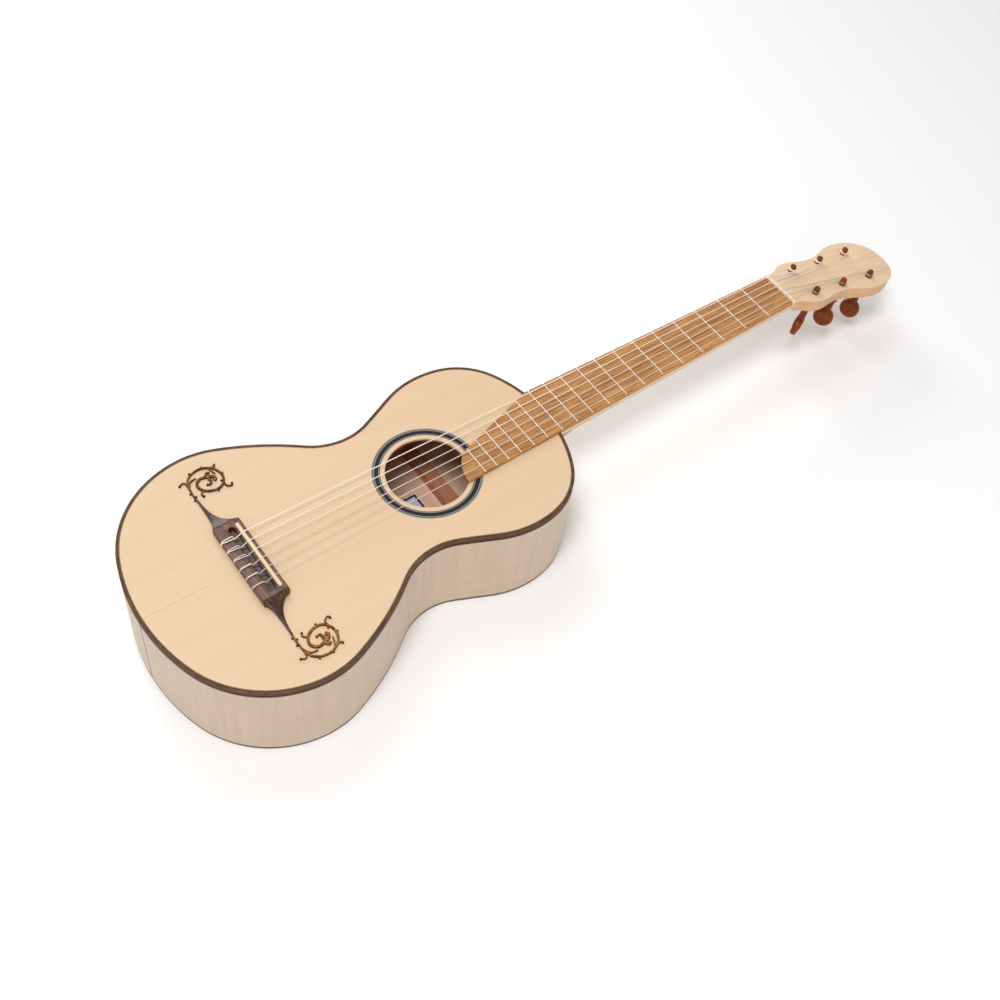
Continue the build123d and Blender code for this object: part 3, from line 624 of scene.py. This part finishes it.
# ---------------------------------------------------------------- scrolls
# Outlines in millimetres for the treble side; the bass side is their mirror image.
SCROLL_H = 1.9
STEM = [(83.0, -16.6), (92.0, -17.0), (103.5, -16.3), (108.8, -17.1), (109.8, -19.7), (108.2, -22.5)]
COIL = [(101.7, -15.9), (110.5, -13.1), (115.4, -5.9), (116.2, 4.0), (111.0, 13.1), (102.0, 17.2),
        (93.3, 15.3), (88.0, 8.7), (88.8, -0.1), (93.7, -6.8), (100.9, -8.5), (105.9, -3.5),
        (104.8, 3.9), (103.2, 8.1), (99.6, 10.1), (97.8, 7.7)]
TENDRILS = [
    [(104.2, 4.5), (99.1, 4.7), (96.0, 3.3), (96.6, 0.3)],
    [(104.4, 4.3), (106.8, 4.1), (109.0, 5.7), (108.2, 7.3)],
    [(103.0, -15.7), (107.4, -11.9), (108.8, -5.6)],
    [(113.8, 9.1), (108.4, 10.9), (104.2, 12.1)],
    [(93.0, 15.1), (88.0, 14.3), (85.2, 16.4), (84.4, 19.3), (86.4, 20.2)],
    [(92.4, -5.5), (91.0, -8.7), (89.0, -10.1), (86.8, -8.9)],
    [(113.9, 8.7), (112.4, 13.1), (112.4, 15.9), (113.8, 16.3)],
]
BUDS = [(85.6, 5.9), (94.3, 13.4), (101.4, 18.5), (117.4, 4.8), (116.4, -8.5), (95.1, -18.5),
        (89.8, -15.3), (86.6, -18.3)]
STROKE_SECTION = [       # shares of half the width and of the height
    (-1.0, 0.0), (-1.0, 0.72), (-0.78, 0.94), (-0.3, 1.0), (0.3, 1.0), (0.78, 0.94), (1.0, 0.72), (1.0, 0.0),
]
BUD_SECTION = [(1.0, 0.0), (1.0, 0.7), (0.86, 0.92), (0.55, 1.05), (0.2, 1.1)]
LEAVES = (2, 3)          # the tendrils that end in a point, without a bud
HEAVY = (0, 1)           # the thick tendrils in the heart of the scroll
STEM_HALF = (0.9, 0.6)   # half widths at the start and at the end of a stroke
COIL_HALF = (1.0, 1.75)
TENDRIL_HALF = (0.85, 0.55)
HEAVY_HALF = (1.5, 0.55)
TIP_R = 1.25
BUD_R = 1.0


def stroke(bm, points, halves, height, sign):
    """Add one carved stroke that tapers from its start to its end."""
    start_half, end_half = halves
    path = smooth_path([Vector((sign * x, y, BODY_TOP_MM)) for x, y in points], 10)
    rings = []
    for index, point in enumerate(path):
        ahead = (path[min(index + 1, len(path) - 1)] - path[max(index - 1, 0)]).normalized()
        across = Vector((-ahead.y, ahead.x, 0))
        share = index / (len(path) - 1)
        half = start_half + (end_half - start_half) * share ** 2
        rings.append([bm.verts.new((point + across * (half * u) + Vector((0, 0, height * h))) * MM)
                      for u, h in STROKE_SECTION])
    bridge_rings(bm, rings, closed_ends=True)


def bud(bm, x, y, radius, height, sides=16):
    """Add a small round knob with a domed top."""
    rings = []
    for share, level in BUD_SECTION:
        z = BODY_TOP_MM + height * level
        rings.append([bm.verts.new(Vector((x + radius * share * cos, y + radius * share * sin, z)) * MM)
                      for cos, sin in circle(sides)])
    bridge_rings(bm, rings, closed_ends=True)


def add_scroll(node, sign, material):
    """Carve one ornament; each stroke has its own height, so that no two top faces coincide."""
    bm = bmesh.new()
    stroke(bm, STEM, STEM_HALF, SCROLL_H, sign)
    stroke(bm, COIL, COIL_HALF, SCROLL_H * 0.98, sign)
    for number, curl in enumerate(TENDRILS):
        halves = HEAVY_HALF if number in HEAVY else TENDRIL_HALF
        stroke(bm, curl, halves, SCROLL_H * (0.95 - 0.01 * number), sign)
    ends = [curl[-1] for number, curl in enumerate(TENDRILS) if number not in LEAVES]
    for x, y in ends + [STEM[-1]]:
        bud(bm, sign * x, y, TIP_R, SCROLL_H * 0.93)
    for x, y in BUDS:
        bud(bm, sign * x, y, BUD_R, SCROLL_H * 0.9)
    add_piece(f"{node}_carved", bm, ROOT, "scroll_wood", material, node)


add_scroll("scroll_treble", 1, "scroll_face")
add_scroll("scroll_bass", -1, "scroll_dark")


# ---------------------------------------------------------------- strings, ties and windings
BRIDGE_LOW, BRIDGE_HIGH = box_mm("bridge")
SADDLE_LOW, SADDLE_HIGH = box_mm("saddle")
NUT_LOW, NUT_HIGH = box_mm("nut")
GAP_SADDLE = 11.0        # from one string to the next
GAP_NUT = 7.8
MIDDLE = 3.5             # the centre line runs between strings 3 and 4
STRING_R = [0.36, 0.42, 0.5, 0.38, 0.45, 0.55]
TIE_SPREAD = [0.5, 0.55, 0.6, 1.3, 1.45, 1.7]    # half of how far apart the two runs of a tie lie
TIE_TOP = BRIDGE_HIGH.z
TIE_BACK = BRIDGE_LOW.y
TIE_FRONT = TIE_BACK + 11.0      # the tie block is 11 mm deep
TIE_HOLE = TIE_TOP - 3.8
TIE_CLEAR = 0.12
CREST_LIFT = 0.1         # the strings clear the flat top of the saddle by this much
CORNER_REACH = 1.1
SADDLE_CREST = Vector((0, (SADDLE_LOW.y + SADDLE_HIGH.y) / 2, SADDLE_HIGH.z + CREST_LIFT))
NUT_CREST = Vector((0, (NUT_LOW.y + NUT_HIGH.y) / 2, NUT_HIGH.z))
PEG_R = 3.5              # at the front face of the head
PEG_TAPER = 1 / 60
WINDING_LOW = 1.4
WINDING_TURNS = 3
WINDING_STEPS = 96
WINDING_SEAT = 0.98      # share of its own radius at which a turn lies outside the peg
WINDING_GAP = 0.3        # between a string's end and the turns that ride on the peg


def peg_root(number):
    """Where a peg's axis meets the front face of the head."""
    return Vector(TUNERS[f"tuner_{number}"]["pos_m"]) * PER_MM


def peg_side(number):
    """1 for a peg on the treble side of the head, -1 on the bass side."""
    return 1 if number <= 3 else -1


def rounded(points, reach, steps=6):
    """Straight runs whose corners are rounded over the given reach on each side."""
    path = [points[0]]
    for before, corner, after in zip(points, points[1:], points[2:]):
        first = corner + (before - corner).normalized() * reach
        last = corner + (after - corner).normalized() * reach
        for step in range(steps + 1):
            t = step / steps
            path.append(first * (1 - t) ** 2 + corner * 2 * t * (1 - t) + last * t * t)
    path.append(points[-1])
    return path


def tie_points(x, r, spread):
    """The tie: out of the block, over it, round the string, back over it and tucked at the back."""
    middle = (TIE_FRONT + TIE_BACK) / 2
    back = TIE_BACK - r - TIE_CLEAR
    over = TIE_TOP + r
    route = [
        (0, TIE_BACK + 1.0, TIE_HOLE), (0.1, back, TIE_HOLE + 0.5), (0.35, back - 0.1, TIE_HOLE + 2.4),
        (0.75, TIE_BACK + 0.6, over + 0.35), (spread, middle - 1.0, over + 1.0),
        (spread, TIE_FRONT - 1.2, over + 0.5), (0.8 * spread, TIE_FRONT + 0.6, over - 1.3),
        (0.15, TIE_FRONT + 1.3, TIE_HOLE + 0.25), (-0.7 * spread - 0.2, TIE_FRONT + 0.9, over - 1.6),
        (-0.8 * spread, TIE_FRONT - 0.9, over + 0.25), (-0.7 * spread, middle, over + 0.35),
        (-0.5 * spread, TIE_BACK + 0.7, over + 0.15), (-0.3, back - 0.1, over - 1.4),
        (0.25, back - r - 0.1, TIE_HOLE + 2.0),
    ]
    return [Vector((x + dx, y, z)) for dx, y, z in route]


def add_string(number):
    """One string from beside its winding over the nut and the saddle, and through its tie."""
    r = STRING_R[number - 1]
    x = (MIDDLE - number) * GAP_SADDLE
    inwards = Vector((-peg_side(number) * (PEG_R + 3 * r + WINDING_GAP), 0, 0))
    main = rounded([
        peg_root(number) + inwards + HEAD_NORMAL * (WINDING_LOW + WINDING_TURNS * r),
        NUT_CREST + Vector(((MIDDLE - number) * GAP_NUT, 0, 0)), SADDLE_CREST + Vector((x, 0, 0)),
        Vector((x, TIE_FRONT + 1.0, TIE_HOLE + 0.5)), Vector((x, TIE_BACK + 3.0, TIE_HOLE)),
    ], CORNER_REACH)
    path = main[:-1] + smooth_path([main[-1]] + tie_points(x, r, TIE_SPREAD[number - 1]), 7)
    bm = bmesh.new()
    tube(bm, path, r)
    finish = "nylon_treble" if number <= 3 else "nylon_bass"     # the three low strings are covered
    add_piece(f"string_{number}_tied", bm, ROOT, "nylon", finish, f"string_{number}")


def add_winding(number):
    """Helix of string on the tip of its peg, with its end drawn into the peg."""
    r = STRING_R[number - 1]
    root = peg_root(number)
    turns = WINDING_TURNS - 0.25
    path = []
    for step in range(WINDING_STEPS + 1):
        share = step / WINDING_STEPS
        angle = 2 * math.pi * turns * share
        above = WINDING_LOW + r + 2 * r * turns * share
        radius = PEG_R - PEG_TAPER * above + r * WINDING_SEAT
        side = Vector((-peg_side(number) * math.cos(angle), 0, 0)) + HEAD_DOWN * math.sin(angle)
        path.append(root + HEAD_NORMAL * above + side * radius)
    inwards = root + HEAD_NORMAL * above - path[-1]
    path.append(path[-1] + inwards * 0.25 + HEAD_NORMAL * 0.1)
    path.append(path[-2] + inwards * 0.6 + HEAD_NORMAL * 0.1)
    bm = bmesh.new()
    tube(bm, path, r)
    finish = "nylon_clear" if number <= 3 else "nylon_bass"      # the peg shows through the clear turns
    add_piece(f"winding_{number}_coil", bm, f"tuner_{number}", "nylon", finish, f"winding_{number}")


# ---------------------------------------------------------------- pegs
PEG_TURNS = [-64.0, 26.0, 20.0]      # degrees, from the row beside the nut outwards
DISC_AT = -48.0
DISC_R = 11.65
DISC_HALF = 3.8          # half the disc's thickness away from the shaft and the far end
DISC_ROOT = 1.2          # what it gains towards the shaft
DISC_END = 0.35          # what it gains towards the far end
DISC_DISH = 0.22         # share of the thickness that the middle loses
SHAFT = [                # height over the front face of the head, radius
    (8.0, 0.0), (8.0, 1.6), (8.0, 2.75), (7.85, 3.05), (7.5, 3.3), (6.7, 3.37), (5.0, 3.42), (-14.0, 3.73),
    (-19.6, 3.83), (-20.3, 4.1), (-20.8, 4.6), (-21.5, 4.95), (-22.5, 4.95), (-23.2, 4.6), (-23.7, 4.1),
    (-24.4, 3.8), (-26.5, 3.7), (-30.0, 3.75), (-33.5, 4.0), (-36.5, 4.35), (-39.0, 4.5), (-42.0, 3.8),
    (-45.0, 2.0), (-46.0, 0.0),
]
DISC_RINGS = [0.14, 0.28, 0.42, 0.56, 0.68, 0.78, 0.86, 0.92, 0.96, 0.985, 1.0]


def lathe(bm, profile, place, sides=40):
    """Turn a profile of (height, radius) about the peg's axis."""
    rings = []
    for height, radius in profile:
        if radius == 0.0:
            rings.append([bm.verts.new(place(0.0, height, 0.0) * MM)])
            continue
        rings.append([bm.verts.new(place(radius * cos, height, radius * sin) * MM)
                      for cos, sin in circle(sides)])
    for low, high in zip(rings, rings[1:]):
        for corner in range(sides):
            after = (corner + 1) % sides
            if len(low) == 1:
                bm.faces.new((low[0], high[after], high[corner]))
            elif len(high) == 1:
                bm.faces.new((low[corner], low[after], high[0]))
            else:
                bm.faces.new((low[corner], low[after], high[after], high[corner]))


def ease(value):
    """A smooth step from 0 to 1."""
    value = min(max(value, 0.0), 1.0)
    return value * value * (3 - 2 * value)


def disc_half(u, v):
    """Half thickness of the thumb disc at a spot on its face; v points to the shaft."""
    share = min(math.hypot(u, v) / DISC_R, 1.0)
    base = DISC_HALF + DISC_ROOT * ease((v + 3.0) / 8.0) + DISC_END * ease((-v - 4.0) / 6.0)
    dish = max(1 - (share / 0.8) ** 2, 0.0) ** 2
    return base * (1 - DISC_DISH * dish) * (1 - share ** 9) ** 0.45


def disc(bm, place, sides=56):
    """Add the thumb disc: two dished faces that meet in a rounded rim."""
    faces = []
    for facing in (1, -1):
        rings = []
        for share in DISC_RINGS:
            ring = []
            for corner, (cos, sin) in enumerate(circle(sides)):
                u, v = DISC_R * share * cos, DISC_R * share * sin
                if share == 1.0 and facing == -1:
                    ring.append(faces[0][-1][corner])
                else:
                    ring.append(bm.verts.new(place(u, DISC_AT + v, facing * disc_half(u, v)) * MM))
            rings.append(ring)
        centre = bm.verts.new(place(0.0, DISC_AT, facing * disc_half(0.0, 0.0)) * MM)
        for corner in range(sides):
            bm.faces.new((centre, rings[0][corner], rings[0][(corner + 1) % sides]))
        bridge_rings(bm, rings)
        faces.append(rings)


def add_peg(number):
    """One peg: a turned shaft and a thumb disc, at the angle of its row."""
    row = min(number, 7 - number) - 1            # strings 1 and 6 go to the row beside the nut
    turn = math.radians(peg_side(number) * PEG_TURNS[row])
    disc_dir = Vector((math.cos(turn), 0, 0)) + HEAD_DOWN * math.sin(turn)
    face_dir = disc_dir.cross(HEAD_NORMAL)
    root = peg_root(number)

    def place(u, height, w):
        return root + disc_dir * u + HEAD_NORMAL * height + face_dir * w

    bm = bmesh.new()
    lathe(bm, SHAFT, place)
    disc(bm, place)
    add_piece(f"peg_{number}_turned", bm, f"tuner_{number}", "peg_wood", "peg_wood", f"peg_{number}",
              smooth_angle=35.0)


for number in range(1, 7):
    add_string(number)
    add_winding(number)
    add_peg(number)

# ---------------------------------------------------------------- softened edges
WELD_GAP = 0.000002      # metres
FLAT_ANGLE = 0.4         # degrees


def softened(node, width_mm, slot, material, crease=32.0):
    """Replace a CAD node of the body by a copy whose edges sharper than crease are rounded off."""
    bm = bmesh.new()
    bm.from_mesh(frame["nodes"][node].data)
    bmesh.ops.remove_doubles(bm, verts=bm.verts, dist=WELD_GAP)
    bmesh.ops.dissolve_limit(bm, angle_limit=math.radians(FLAT_ANGLE), verts=bm.verts, edges=bm.edges)
    sharp = [edge for edge in bm.edges
             if len(edge.link_faces) == 2 and edge.calc_face_angle(0.0) > math.radians(crease)]
    bmesh.ops.bevel(bm, geom=sharp, offset=width_mm * MM, segments=3, profile=0.5, affect="EDGES",
                    clamp_overlap=True)
    add_piece(f"{node}_soft", bm, ROOT, slot, material, node, smooth_angle=50.0)


softened("top_binding", 0.5, "binding_wood", "binding_top")
softened("headstock", 0.6, "neck_maple", "head_maple")
softened("bridge", 0.3, "rosewood", "rosewood", crease=25.0)
softened("nut", 0.35, "bone", "nut_bone")
